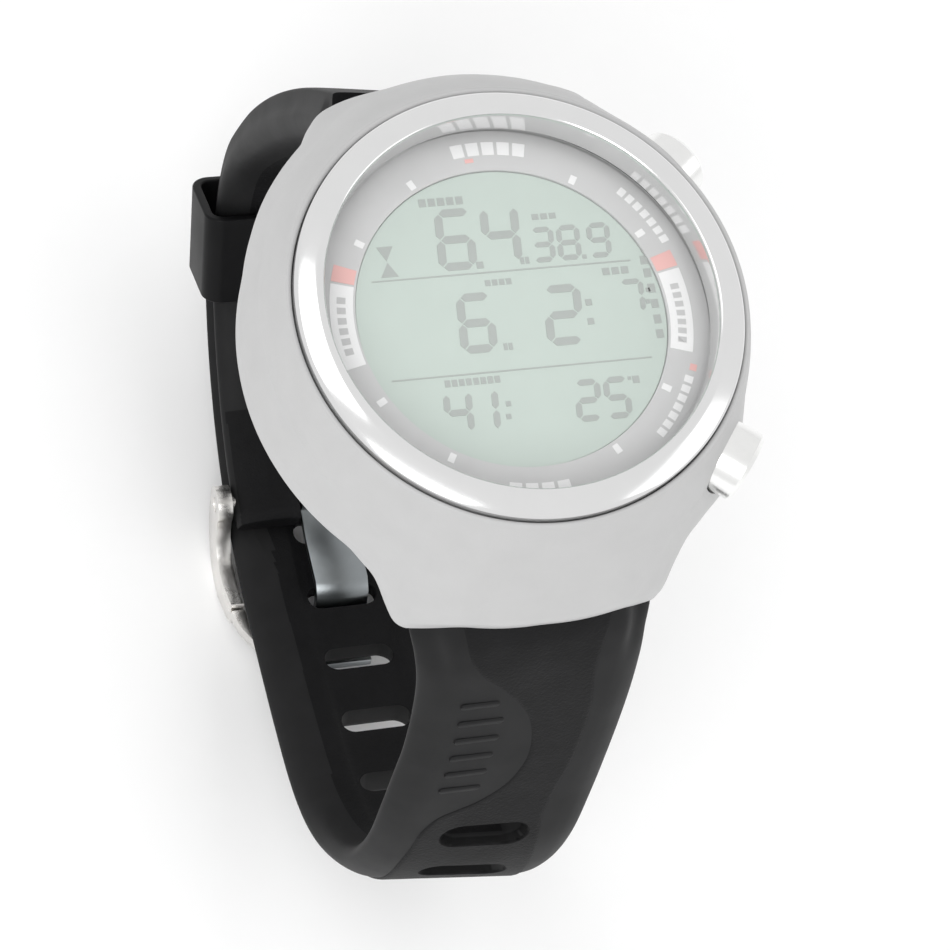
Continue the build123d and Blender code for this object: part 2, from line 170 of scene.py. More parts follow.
MAT = {
    "case": surface("case_plastic", (0.475, 0.475, 0.475), 0.02, (0.42, 0.5), grain=(6500, 0.35, 0.00005),
                    pores=(2200, 0.2, 0.00004)),
    "groove": surface("groove_plastic", (0.42, 0.42, 0.42), 0.03, (0.5, 0.6)),
    "bezel": surface("bezel_steel", (0.80, 0.80, 0.80), 0.01, (0.10, 0.16), 1.0, grain=(900, 0.02, 0.00001)),
    "steel": surface("satin_steel", (0.78, 0.765, 0.74), 0.05, (0.24, 0.34), 1.0, brushed=(1, 30, 1)),
    "dark_steel": surface("tongue_steel", (0.28, 0.30, 0.31), 0.05, (0.26, 0.34), 1.0, brushed=(1, 30, 1)),
    "button": surface("button_steel", (0.88, 0.88, 0.87), 0.03, (0.18, 0.26), 1.0),
    "wire": surface("spring_wire", (0.55, 0.55, 0.55), 0.06, (0.25, 0.35), 1.0),
    "lens": glass_material("lens_glass", (0.97, 0.98, 0.98), 0.06),
    "ring": surface("ring_print", (0.575, 0.575, 0.575), 0.02, (0.35, 0.45), grain=(5000, 0.1, 0.00002)),
    "mark": surface("printed_marks", (0.88, 0.88, 0.88), 0.02, (0.4, 0.5)),
    "red": surface("printed_red", (0.84, 0.46, 0.43), 0.03, (0.4, 0.5)),
    "lcd": surface("display_background", (0.51, 0.59, 0.54), 0.012, (0.3, 0.38), grain=(9000, 0.06, 0.00001)),
    "segment": surface("display_segments", (0.37, 0.40, 0.38), 0.02, (0.35, 0.45)),
    "film": surface("backlight_film", (0.78, 0.83, 0.78), 0.03, (0.4, 0.5)),
    "strap": surface("strap_rubber", (0.0135, 0.0135, 0.014), 0.1, (0.5, 0.6), grain=(5200, 0.12, 0.00003),
                     specular=0.14),
    "inlay": surface("inlay_rubber", (0.0075, 0.0075, 0.008), 0.16, (0.54, 0.66), grain=(5200, 0.6, 0.00008),
                     pores=(2300, 0.55, 0.00010), specular=0.14),
    "inner": surface("inner_rubber", (0.004, 0.004, 0.0045), 0.2, (0.58, 0.7), grain=(4200, 0.6, 0.00008),
                     pores=(1900, 0.5, 0.0001), specular=0.16),
    "keeper": surface("keeper_rubber", (0.006, 0.006, 0.0065), 0.12, (0.38, 0.48),
                      grain=(5200, 0.12, 0.00003),
                      specular=0.12),
    "seal": surface("seal_rubber", (0.02, 0.02, 0.02), 0.1, (0.3, 0.4)),
    "board": surface("board_mask", (0.03, 0.16, 0.08), 0.15, (0.25, 0.35), grain=(1400, 0.3, 0.00006)),
    "chip": surface("chip_plastic", (0.02, 0.02, 0.02), 0.1, (0.5, 0.6)),
    "connector": surface("layered_connector", (0.30, 0.32, 0.34), 0.2, (0.5, 0.6)),
    "moulded": surface("moulded_frame", (0.10, 0.10, 0.10), 0.08, (0.45, 0.55)),
    "brass": surface("plated_brass", (0.72, 0.56, 0.26), 0.06, (0.22, 0.32), 1.0),
    "cell": surface("nickel_plating", (0.68, 0.68, 0.67), 0.04, (0.25, 0.35), 1.0, brushed=(30, 1, 1)),
    "ceramic": surface("sensor_ceramic", (0.70, 0.70, 0.66), 0.04, (0.4, 0.5)),
}

CAD_LOOKS = {
    "case": ["battery_cover"],
    "steel": ["case_back", "case_back_screws", "buckle_frame", "buckle_pin"],
    "dark_steel": ["buckle_tongue"],
    "keeper": ["keeper_loop"],
    "button": ["up_button", "down_button"],
    "wire": ["up_button_clip", "down_button_clip", "up_button_spring", "down_button_spring"],
    "lens": ["lens"],
    "ring": ["dial_ring"],
    "lcd": ["lcd_cell"],
    "film": ["backlight"],
    "seal": ["battery_cover_seal", "case_back_gasket", "lens_gasket", "sensor_seal", "up_button_seal",
             "down_button_seal"],
    "board": ["circuit_board"],
    "chip": ["processor", "memory_chip", "button_switches"],
    "connector": ["connector_strips"],
    "moulded": ["module_frame", "battery_tray"],
    "brass": ["battery_contact_centre", "battery_contact_side", "buzzer"],
    "cell": ["battery", "crystal"],
    "ceramic": ["pressure_sensor"],
}


def paint(obj, material):
    obj.data.materials.clear()
    obj.data.materials.append(material)


for look, names in CAD_LOOKS.items():
    for node_name in names:
        paint(frame["nodes"][node_name], MAT[look])

JOIN_DISTANCE, EDGE_SOFTNESS = 0.000002, 0.0006
for node_name in ("buckle_frame", "buckle_tongue", "keeper_loop"):
    node = frame["nodes"][node_name]
    node.data.polygons.foreach_set("use_smooth", [True] * len(node.data.polygons))
    joining = node.modifiers.new("joined_faces", "WELD")
    joining.merge_threshold = JOIN_DISTANCE
    softening = node.modifiers.new("softened_edges", "BEVEL")
    softening.width = EDGE_SOFTNESS
    softening.segments = 3
    softening.limit_method = "ANGLE"
    softening.angle_limit = radians(40)
    softening.harden_normals = True


# ---------------------------------------------------------------- mesh helpers
def make(name, points, faces, body, material, smooth=True, angle=40):
    """Mesh object from points in millimetres, riding on a body."""
    mesh = bpy.data.meshes.new(name)
    mesh.from_pydata([tuple(p) for p in np.asarray(points) * MM], [], faces)
    obj = bpy.data.objects.new(name, mesh)
    bpy.context.scene.collection.objects.link(obj)
    tidy = bmesh.new()
    tidy.from_mesh(mesh)
    bmesh.ops.remove_doubles(tidy, verts=tidy.verts, dist=1e-7)
    bmesh.ops.recalc_face_normals(tidy, faces=tidy.faces)
    tidy.to_mesh(mesh)
    tidy.free()
    if smooth:
        mesh.polygons.foreach_set("use_smooth", [True] * len(mesh.polygons))
        mesh.set_sharp_from_angle(angle=radians(angle))
    mesh.materials.append(material)
    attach(obj, body)
    return obj


def grid_faces(rows, columns, round_trip=True, loop_rows=False):
    """Quads between rows of points; each row is a closed ring when round_trip is set."""
    faces = []
    for i in range(rows if loop_rows else rows - 1):
        for j in range(columns if round_trip else columns - 1):
            k = (j + 1) % columns
            n = (i + 1) % rows
            faces.append((i * columns + j, i * columns + k, n * columns + k, n * columns + j))
    return faces


def rounded(points, rounds=3, closed=False):
    """Corner-cutting: turns a control polygon into a soft curve."""
    p = np.asarray(points, float)
    for _ in range(rounds):
        q = np.roll(p, -1, 0) if closed else p[1:]
        a = p if closed else p[:-1]
        cut = np.stack([0.75 * a + 0.25 * q, 0.25 * a + 0.75 * q], 1).reshape(-1, p.shape[1])
        p = cut if closed else np.vstack([p[:1], cut, p[-1:]])
    return p


def lathe(name, profile, body, material, steps=288, angle=30):
    """Closed solid of revolution about Z from a closed (radius, height) outline."""
    turn = np.linspace(0, 2 * pi, steps, endpoint=False)
    points = [(r * cos(a), r * sin(a), z) for a in turn for r, z in profile]
    faces = grid_faces(steps, len(profile), True, True)
    return make(name, points, faces, body, material, True, angle)


def cut(obj, *cutters):
    """Subtracts the cutters from a mesh and removes them."""
    for cutter in cutters:
        modifier = obj.modifiers.new("cut", "BOOLEAN")
        modifier.object = cutter
        modifier.solver = "EXACT"
    graph = bpy.context.evaluated_depsgraph_get()
    result = bpy.data.meshes.new_from_object(obj.evaluated_get(graph))
    obj.modifiers.clear()
    obj.data = result
    for cutter in cutters:
        bpy.data.objects.remove(cutter)
    obj.data.polygons.foreach_set("use_smooth", [True] * len(obj.data.polygons))
    obj.data.set_sharp_from_angle(angle=radians(38))


def flat(points, z0, z1, name, material, body="case"):
    """Thin plate from an outline of (x, y) points."""
    count = len(points)
    verts = [(x, y, z0) for x, y in points] + [(x, y, z1) for x, y in points]
    faces = [tuple(range(count))[::-1], tuple(range(count, 2 * count))]
    faces += [(i, (i + 1) % count, count + (i + 1) % count, count + i) for i in range(count)]
    return make(name, verts, faces, body, material, False)


def joined(name, parts):
    """One object from several of the same material."""
    mesh = bmesh.new()
    for part in parts:
        mesh.from_mesh(part.data)
    keep = parts[0]
    data = bpy.data.meshes.new(name)
    mesh.to_mesh(data)
    mesh.free()
    data.materials.append(keep.data.materials[0])
    body = keep["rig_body"]
    for part in parts:
        bpy.data.objects.remove(part)
    obj = bpy.data.objects.new(name, data)
    bpy.context.scene.collection.objects.link(obj)
    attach(obj, body)
    return obj


# ---------------------------------------------------------------- strap line
LINE_START = (-26.4, -2.2)
LINE_HEADING = radians(-115)
LINE_ARCS = [(41, 6), (49, 91), (22, 0), (45, 51), (34, 69), (26, 9), (30, 7)]
LINE_LENGTH = sum(length for length, _ in LINE_ARCS)
TIP_S = 174.0
PIN_S, PIN_N = 129.0, -2.1
TONGUE_SLOT_S, SLOT_PITCH = 114.2, 10.33


def line_at(s):
    """(y, z, heading) on the strap line, s from the 6 o'clock lug."""
    y, z = LINE_START
    heading = LINE_HEADING
    for number, (length, turn) in enumerate(LINE_ARCS):
        last = number == len(LINE_ARCS) - 1
        run = s if last or s < length else length
        bend = radians(turn) * run / length
        chord = run * (sin(bend / 2) / (bend / 2)) if abs(bend) > 1e-9 else run
        y += chord * cos(heading + bend / 2)
        z += chord * sin(heading + bend / 2)
        heading += bend
        s -= run
        if s <= 0:
            break
    return y, z, heading


def table_curve(rows):
    """Smooth curve through (place, value) rows, level beyond its ends."""
    keys = np.array([r[0] for r in rows], float)
    values = np.array([r[1] for r in rows], float)
    slopes = np.gradient(values, keys)

    def at(s):
        i = int(np.clip(np.searchsorted(keys, s) - 1, 0, len(keys) - 2))
        span = keys[i + 1] - keys[i]
        t = float(np.clip((s - keys[i]) / span, 0, 1))
        rise = (2 * t ** 3 - 3 * t ** 2 + 1) * values[i] + (3 * t ** 2 - 2 * t ** 3) * values[i + 1]
        bend = (t ** 3 - 2 * t ** 2 + t) * slopes[i] + (t ** 3 - t ** 2) * slopes[i + 1]
        return float(rise + span * bend)

    return at


# The rubber leans a little to one side below the case: sideways shift, and rise per millimetre across.
SWAY = table_curve([(0, 0), (6, 0.45), (12, 1.0), (18, 1.15), (24, 1.0), (32, 0.5), (42, -0.1), (50, -0.4),
                    (62, -0.4), (80, 0), (90, 0)])
LEAN = table_curve([(26, 0), (36, 0.035), (46, 0.09), (60, 0.1), (67, 0.08), (82, 0), (90, 0)])
TOP_LEAN = table_curve([(160, 0), (170, 0), (178, 0), (186, 0.045), (192, 0.045), (204, -0.02), (222, -0.1),
                        (250, -0.12), (252, -0.12)])


def strap_point(x, s, n):
    """Row-frame point from strap coordinates: across, along and outwards."""
    y, z, heading = line_at(s)
    n += LEAN(s) * (x - 8.8) + TOP_LEAN(s) * (x + 13.3)
    return (x + SWAY(s), y + n * sin(heading), z - n * cos(heading))


HALF_WIDTH = table_curve([(-4, 13.2), (0, 14.1), (2, 14.4), (7, 13.75), (12, 13.35), (18, 13.2), (36, 13.1),
                          (46, 12.75), (66, 12.8), (80, 13.2), (200, 13.2),
                          (225, 13.9), (LINE_LENGTH, 14.4)])
LONG_TOP = table_curve([(-4, 2.8), (-1.5, 4.3), (1, 5.6), (3, 6.15), (6, 6.3), (12, 5.9), (25, 5.15),
                        (60, 5.15), (95, 5.15),
                        (108, 4.05), (150, 4.05), (TIP_S, 3.15)])
SHORT_TOP = table_curve([(PIN_S - 5, -0.15), (180, -0.15), (192, 0.4), (202, 0.8), (235, 0.8),
                         (LINE_LENGTH, 0.2)])
RISE = table_curve([(-4, 0.5), (3, 0.55), (5, 0.72), (8.5, 0.93), (13, 1.0), (16, 1.0)])
SHORT_LOW = table_curve([(PIN_S - 5, 4.55), (180, 4.55), (202, 5.55), (LINE_LENGTH - 12, 6.5),
                         (LINE_LENGTH, 7.15)])


def section(s, low, high, width, face_low, face_high, channel, rise=1.0):
    """Ring of points round a strap half: channelled inside, bulging sides, flat outside.

    A rise below 1 lowers its shoulders.
    """
    t = high - low
    right = [
        (channel - 0.6, low + 0.55), (channel + 0.1, low + 0.02), (face_low, low), (face_low + 0.4, low),
        (width - 1.3, low + 0.12 * t), (width - 0.1, low + 0.34 * t * rise),
             (width + 0.12, low + 0.52 * t * rise),
        (max(width - 0.8, face_high + 1.1), low + 0.72 * t * rise),
        (max(width - 2.3, face_high + 1.0), low + 0.90 * t * rise),
        (face_high + 0.9, high - 0.16 - 1.6 * (1 - rise)), (face_high - 0.3, high - 0.7 * (1 - rise)),
        (face_high * 0.5, high + 0.05 - 0.1 * (1 - rise)),
    ]
    ring_points = right + [(-x, n) for x, n in reversed(right)]
    return [strap_point(x, s, n) for x, n in rounded(ring_points, 2, True)]


def strap_solid(name, places, shape, body, material):
    """Closed strap half from cross-sections at the given places."""
    rows = [shape(s) for s in places]
    count = len(rows[0])
    points = [p for row in rows for p in row]
    faces = grid_faces(len(rows), count)
    faces += [tuple(range(count))[::-1], tuple(range((len(rows) - 1) * count, len(rows) * count))]
    return make(name, points, faces, body, material, True, 35)


def slot_cutter(s, top, bottom=-0.2, flare=0.6):
    """Stadium-shaped punch through the long half, flared at both faces."""
    rows = []
    levels = [(bottom - 1.5, flare), (bottom, flare), (bottom + 0.55, 0.35), (bottom + 0.9, 0.0),
              (top - 1.5, 0.0),
              (top - 1.0, 0.15), (top - 0.3, flare), (top + 0.1, flare + 0.25), (top + 1.5, flare + 0.25)]
    half_l, half_w = 3.05, 1.75
    for n, grow in levels:
        for k in range(40):
            a = 2 * pi * k / 40
            side = half_l if cos(a) > 0 else -half_l
            x = side + (half_w + grow) * cos(a)
            rows.append(strap_point(x, s + (half_w + grow * 0.8) * sin(a), n))
    faces = grid_faces(len(levels), 40)
    faces += [tuple(range(40))[::-1], tuple(range((len(levels) - 1) * 40, len(levels) * 40))]
    return make("punch", rows, faces, "case", MAT["strap"], False)


def spaced(start, end, step):
    return list(np.linspace(start, end, max(2, round((end - start) / step) + 1)))


SLOTS = [TONGUE_SLOT_S + SLOT_PITCH * k for k in range(-7, 6)]


def long_shape(s):
    taper = 1.0
    if s > TIP_S - 14:
        taper = max(0.05, 1 - ((s - TIP_S + 14) / 14) ** 2.4) ** 0.5
    top = 0.15 + (LONG_TOP(s) - 0.15) * (0.55 + 0.45 * taper)
    width = HALF_WIDTH(s) * taper
    shoulder = 5.4 - 3.4 * float(np.clip((s - 118) / 12, 0, 1))
    return section(s, 0.15, top, width, max(0.3, width - shoulder), max(0.3, width - 4.4),
                   max(0.2, 5.6 * taper), RISE(s))


long_strap = strap_solid(
    "long_strap_skin", spaced(-2.4, TIP_S - 14, 0.9) + spaced(TIP_S - 13.2, TIP_S - 0.1, 0.6), long_shape,
                         "case",
    MAT["strap"])
long_strap.data.materials.append(MAT["inner"])


LEFT_SEAM = table_curve([(-3, -9.6), (-1, -9.4), (1.5, -9.0), (7, -7.5), (9, -6.2), (12, -3.5), (16, -0.8),
                         (21.5, 1.0),
                         (27.5, 1.15), (32, -0.6), (34.5, -3.0), (37, -6.6), (39.5, -7.9), (45, -8.6),
                         (60, -8.8),
                         (155, -8.6), (TIP_S, -6.5)])
RIGHT_SEAM = table_curve([(-3, 9.3), (-1, 9.0), (9.5, 7.1), (16.5, 7.5), (27, 7.5), (39, 6.6), (46, 7.6),
                          (60, 8.6),
                          (155, 8.6), (TIP_S, 6.5)])


def slab_row(s, left, right, top, depth):
    """Ring of points of a raised band on an outer face."""
    edge = 0.5
    across = [(left, top - depth), (left, top - 0.05), (left + edge * 0.3, top + 0.10),
              (left + edge, top + 0.16)]
    across += [(left + edge + (right - left - 2 * edge) * k / 14, top + 0.16) for k in range(1, 14)]
    across += [(right - edge, top + 0.16), (right - edge * 0.3, top + 0.10), (right, top - 0.05),
               (right, top - depth)]
    return [strap_point(x, s, n - 0.0105 * x * x * (1 - RISE(s))) for x, n in across]


def slab(name, places, left, right, top, body, depth=1.0):
    """Closed band that follows an outer face between two seams."""
    rows = [slab_row(s, left(s), right(s), top(s), depth) for s in places]
    count = len(rows[0])
    points = [p for row in rows for p in row]
    faces = grid_faces(len(rows), count)
    faces += [tuple(range(count))[::-1], tuple(range((len(rows) - 1) * count, len(rows) * count))]
    return make(name, points, faces, body, MAT["inlay"], True, 35)


inlay = slab("long_strap_band", spaced(-1.2, TIP_S - 7, 0.7), LEFT_SEAM, RIGHT_SEAM, LONG_TOP, "case")


def all_punches():
    punches = [slot_cutter(s, LONG_TOP(s) + 0.16) for s in SLOTS]
    return joined("punches", punches)


cut(long_strap, all_punches())
cut(inlay, all_punches())
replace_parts(long_strap, "long_strap")
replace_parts(inlay, "long_strap_inlay")

ribs = []
for k in range(6):
    s0 = 14.0 + 3.4 * k
    left, right = -8.2 + 0.12 * k, min(LEFT_SEAM(s0) - 2.6, -3.6)
    corners = []
    for j in range(24):
        a = 2 * pi * j / 24
        x = (right if cos(a) > 0 else left) + 0.55 * cos(a)
        corners.append((x, s0 + 0.55 * sin(a)))
    lower = [strap_point(x, s, LONG_TOP(s) - 0.3) for x, s in corners]
    upper = [strap_point(x, s, LONG_TOP(s) + 0.10) for x, s in corners]
    crown = [strap_point(left + (x - left) * 0.97, s0 + (s - s0) * 0.6, LONG_TOP(s) + 0.22) for x,
             s in corners]
    faces = grid_faces(3, 24) + [tuple(range(24))[::-1], tuple(range(48, 72))]
    ribs.append(make("rib", lower + upper + crown, faces, "case", MAT["strap"], True, 50))
joined("strap_ribs", ribs)


def short_shape(s):
    low, width = -SHORT_LOW(s), HALF_WIDTH(s) - 0.2
    if s > LINE_LENGTH - 1:
        width -= 0.5
    end = min(1.0, (s - PIN_S + 4.3) / 2.2)
    round_off = max(0.35, 1 - (1 - end) ** 2) ** 0.5
    mid = (low + SHORT_TOP(s)) / 2
    return section(s, mid + (low - mid) * round_off, mid + (SHORT_TOP(s) - mid) * round_off,
                   width - 0.7 * (1 - end),
                   7.8, min(11.9, width - 1.2), 5.4)


short_strap = strap_solid(
    "short_strap_skin", spaced(PIN_S - 3.8, PIN_S - 1.6, 0.3) + spaced(PIN_S - 1.0, LINE_LENGTH + 1.0, 0.9),
    short_shape, "case", MAT["strap"])
short_strap.data.materials.append(MAT["inner"])


def block_mesh(name, s0, s1, x0, x1, n0, n1):
    points = [strap_point(x, s, n) for s in (s0, s1) for x, n in ((x0, n0), (x1, n0), (x1, n1), (x0, n1))]
    faces = grid_faces(2, 4) + [(3, 2, 1, 0), (4, 5, 6, 7)]
    return make(name, points, faces, "case", MAT["strap"], False)


cut(short_strap, block_mesh("notch", PIN_S - 9.5, PIN_S + 3.5, -4.3, 4.3, -6.0, 1.0))
short_band = slab("short_strap_band", spaced(PIN_S + 5, LINE_LENGTH - 2, 1.2), lambda s: -8.6, lambda s: 8.6,
                  lambda s: SHORT_TOP(s) - 0.18, "case", 0.9)
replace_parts(short_strap, "short_strap")
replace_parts(short_band, "short_strap_inlay")

LINE_TABLE = np.array([(s, *line_at(s)) for s in np.arange(-4, LINE_LENGTH + 4, 0.5)])


def paint_inner(obj, rule):
    """Second material for the polygons of a strap half that face the wrist."""
    for polygon in obj.data.polygons:
        c = polygon.center / MM
        gap = np.hypot(LINE_TABLE[:, 1] - c.y, LINE_TABLE[:, 2] - c.z)
        s, y, z, heading = LINE_TABLE[gap.argmin()]
        n = (c.y - y) * sin(heading) - (c.z - z) * cos(heading)
        facing = polygon.normal.y * sin(heading) - polygon.normal.z * cos(heading)
        if facing < 0.35 and rule(s, n, c.x):
            polygon.material_index = 1


paint_inner(long_strap, lambda s, n, x: n < 1.6 and abs(x) < 8.3)
paint_inner(short_strap, lambda s, n, x: n < -1.8 and abs(x) < (12.6 if s < PIN_S + 14 else 8.6))


# ---------------------------------------------------------------- case
# Each row: angle from 6 o'clock, then (radius, height) of the crease, the flare,
# the lower edge and its inner edge.
CASE_TABLE = np.array([
    (0, 32.55, 1.1, 32.50, 0.5, 32.3, -0.5, 30.8, -1.3),
    (16.6, 33.1, 1.7, 33.15, 0.9, 32.95, -0.2, 31.3, -1.4),
    (22, 31.8, 3.8, 33.2, -0.5, 33.0, -2.8, 31.3, -3.6),
    (27.8, 30.4, 5.4, 33.3, -2.2, 33.3, -5.0, 31.5, -5.6),
    (31, 29.8, 6.0, 32.0, -0.5, 31.9, -4.0, 30.3, -4.6),
    (36, 29.1, 6.7, 30.6, 2.4, 30.3, -1.0, 28.9, -2.0),
    (44, 28.5, 7.5, 29.9, 3.2, 29.7, 1.0, 28.6, 0),
    (67, 28.1, 8.7, 29.6, 3.8, 29.6, 1.2, 28.5, 0),
    (90, 28.2, 9.0, 29.6, 4.0, 29.6, 1.3, 28.4, 0),
    (113, 28.6, 9.0, 29.8, 4.2, 29.7, 1.3, 28.4, 0),
    (130, 29.8, 9.0, 31.2, 4.5, 31.0, 1.0, 29.2, 0),
    (146, 30.4, 9.0, 32.2, 5.0, 32.4, 0.8, 30.4, 0),
    (152, 31.2, 9.0, 34.0, 5.0, 34.4, 0.8, 32.2, 0),
    (158, 31.5, 8.9, 33.8, 5.2, 34.2, 0.7, 32.2, 0),
    (165, 31.7, 8.8, 33.2, 5.3, 33.5, 0.6, 31.6, 0),
    (180, 31.9, 8.6, 32.6, 5.0, 32.8, 0.4, 31.0, 0),
])


def case_values(angle):
    """Control values of the case's profile at an angle, averaged over a few degrees to soften the corners."""
    q = abs((angle + 180) % 360 - 180)
    rows = [np.array([np.interp(abs(q + d), CASE_TABLE[:, 0], CASE_TABLE[:, k]) if q + d <= 180
                      else np.interp(360 - q - d, CASE_TABLE[:, 0], CASE_TABLE[:, k]) for k in range(1, 9)])
            for d in (-1.8, -0.9, 0, 0.9, 1.8)]
    return np.mean(rows, 0)


def case_profile(angle):
    br, bz, mr, mz, cr, cz, dr, dz = case_values(angle)
    guard = sum(np.exp(-((((angle - 90 - b) + 180) % 360 - 180) / 12.0) ** 2) for b in (38, -38))
    br, mr, cr = br + 0.5 * guard, mr + 1.1 * guard, cr + 0.6 * guard
    a = np.array((26.4, 16.0))
    b, m, c, d = np.array((br, bz)), np.array((mr, mz)), np.array((cr, cz)), np.array((dr, dz))
    bulge = np.array((0.22, 0.12))
    top = [(25.75, 13.6), (25.75, 15.3), (25.9, 15.85), a, a + 0.08 * (b - a), a + 0.4 * (b - a) + bulge,
           a + 0.75 * (b - a) + bulge, a + 0.93 * (b - a) + 0.3 * bulge, b, b + 0.2 * (m - b),
           b + 0.6 * (m - b), m,
           m + 0.6 * (c - m), c, c + 0.3 * (d - c), d]
    soft = rounded(top, 2)
    inside = [(23.95, 0), (23.95, 1.85), (22.2, 1.9), (22.2, 11.5), (24.2, 12.0), (24.2, 13.5)]
    return list(map(tuple, soft)) + inside


CASE_STEPS = 540
case_rows = []
for k in range(CASE_STEPS):
    angle = 360 * k / CASE_STEPS
    side = radians(angle)
    case_rows.append([(r * sin(side), -r * cos(side), z) for r, z in case_profile(angle)])
case_count = len(case_rows[0])
case = make("case_shell", [p for row in case_rows for p in row],
            grid_faces(CASE_STEPS, case_count, True, True), "case",
            MAT["case"], True, 30)


def button_rod(angle, r, start, end, z=8.0):
    """Cylinder on a button axis."""
    axis = np.array((cos(radians(angle)), sin(radians(angle)), 0))
    side = np.array((-axis[1], axis[0], 0))
    points = []
    for reach in (start, end):
        for k in range(64):
            a = 2 * pi * k / 64
            points.append(axis * reach + side * r * cos(a) + np.array((0, 0, z + r * sin(a))))
    faces = grid_faces(2, 64) + [tuple(range(64))[::-1], tuple(range(64, 128))]
    return make("rod", points, faces, "case", MAT["groove"], False)


BUTTON_ANGLES = (38, -38)
POCKET_R, POCKET_FROM, POCKET_TO = 4.45, 26.4, 40
BORE_R, BORE_FROM, BORE_TO = 1.3, 20, 30
pockets = [button_rod(a, POCKET_R, POCKET_FROM, POCKET_TO) for a in BUTTON_ANGLES]
bores = [button_rod(a, BORE_R, BORE_FROM, BORE_TO) for a in BUTTON_ANGLES]
cut(case, *pockets, *bores)
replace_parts(case, "case_body")

# ---------------------------------------------------------------- strap pins
PIN_SIDES = 32
PIN_PROFILE = [(-12.6, 0.35), (-12.45, 0.62), (-12.1, 0.85), (-11.8, 0.9)]
PIN_PROFILE += [(-x, r) for x, r in PIN_PROFILE[::-1]]
cad_pins = frame["nodes"]["strap_pins"]
pin_points = np.array([cad_pins.matrix_world @ v.co for v in cad_pins.data.vertices]) / MM
pins = []
for side in (-1, 1):
    near = pin_points[pin_points[:, 1] * side > 0]
    _, y, z = (near.min(axis=0) + near.max(axis=0)) / 2
    points = [(x, y + r * cos(2 * pi * k / PIN_SIDES), z + r * sin(2 * pi * k / PIN_SIDES))
              for x, r in PIN_PROFILE for k in range(PIN_SIDES)]
    last = PIN_SIDES * (len(PIN_PROFILE) - 1)
    ends = [tuple(range(PIN_SIDES))[::-1], tuple(range(last, last + PIN_SIDES))]
    faces = grid_faces(len(PIN_PROFILE), PIN_SIDES) + ends
    pins.append(make("pin", points, faces, "case", MAT["steel"]))
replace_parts(joined("strap_pin_pair", pins), "strap_pins")

# ---------------------------------------------------------------- bezel
crest = [(22.4, 13.6), (22.4, 16.75)]
crest += [(22.86 - 0.46 * cos(radians(a)), 17.04 + 0.46 * sin(radians(a))) for a in (10, 30, 50, 70, 90)]
crest += [(23.3, 17.47), (23.6, 17.38), (25.2, 16.66), (25.45, 16.5), (25.62, 16.3), (25.68, 16.0),
          (25.68, 13.6)]
bezel = lathe("bezel_ring", crest, "case", MAT["bezel"], 360, 22)
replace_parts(bezel, "bezel")


# ---------------------------------------------------------------- printed ring
def arc_mark(r0, r1, a0, a1, material, z=12.0, height=0.035):
    """Part of the ring between two angles, clockwise degrees from 12 o'clock."""
    count = max(2, round(abs(a1 - a0) / 1.5) + 1)
    angles = [radians(a) for a in np.linspace(a0, a1, count)]
    outline = [(r0 * sin(a), r0 * cos(a)) for a in angles] + [(r1 * sin(a),
                                                               r1 * cos(a)) for a in reversed(angles)]
    return flat(outline, z - 0.2, z + height, "mark", material)


TURN = 2.61
ticks = []
for hour in (1, 2, 4, 5, 7, 8, 10, 11):
    middle = 30 * hour + TURN
    ticks.append(arc_mark(18.4, 19.5, middle - 1.15, middle + 1.15, MAT["mark"]))
joined("ring_ticks", ticks)
joined("ring_panels", [arc_mark(18.25, 20.9, 257, 286.2, MAT["mark"]),
                       arc_mark(18.25, 20.9, 78.6, 107.5, MAT["mark"])])
joined("ring_warning_marks", [arc_mark(18.25, 20.9, 287, 292.6, MAT["red"]),
                              arc_mark(18.25, 20.9, 72.2, 77.8, MAT["red"]),
                              arc_mark(20.8, 21.6, 111.4, 113.6, MAT["red"]),
                              arc_mark(19.1, 19.6, 354.2, 357.2, MAT["red"])])
scale_bars = []
for start, count, step, size in ((261.5, 6, 3.6, 2.3), (83.5, 7, 3.2, 2.0)):
    scale_bars += [arc_mark(19.1, 20.1, start + step * k, start + step * k + size, MAT["ring"], 12.0,
                            0.05) for k in range(count)]
joined("ring_scale_bars", scale_bars)
legend = []
for start, count, step, size, r0, r1 in ((350.8, 5, 5.0, 3.9, 19.9, 21.5), (172.9, 4, 5.2, 4.0, 19.9, 21.4),
                                         (47.2, 7, 3.3, 2.3, 20.5, 21.5), (115.6, 7, 3.4, 2.4, 20.5, 21.5)):
    legend += [arc_mark(r0, r1, start + step * k, start + step * k + size, MAT["mark"]) for k in range(count)]
joined("ring_legend_blocks", legend)

# ---------------------------------------------------------------- display
DISPLAY_Z = 11.7
SEGMENTS = {"0": "abcdef", "1": "bc", "2": "abged", "3": "abgcd", "4": "fgbc", "5": "afgcd", "6": "afgedc",
            "7": "abc",
            "8": "abcdefg", "9": "abcdfg"}
display = []


def lcd_plate(points, material=MAT["segment"]):
    display.append(flat(points, DISPLAY_Z - 0.1, DISPLAY_Z + 0.05, "lcd_mark", material))


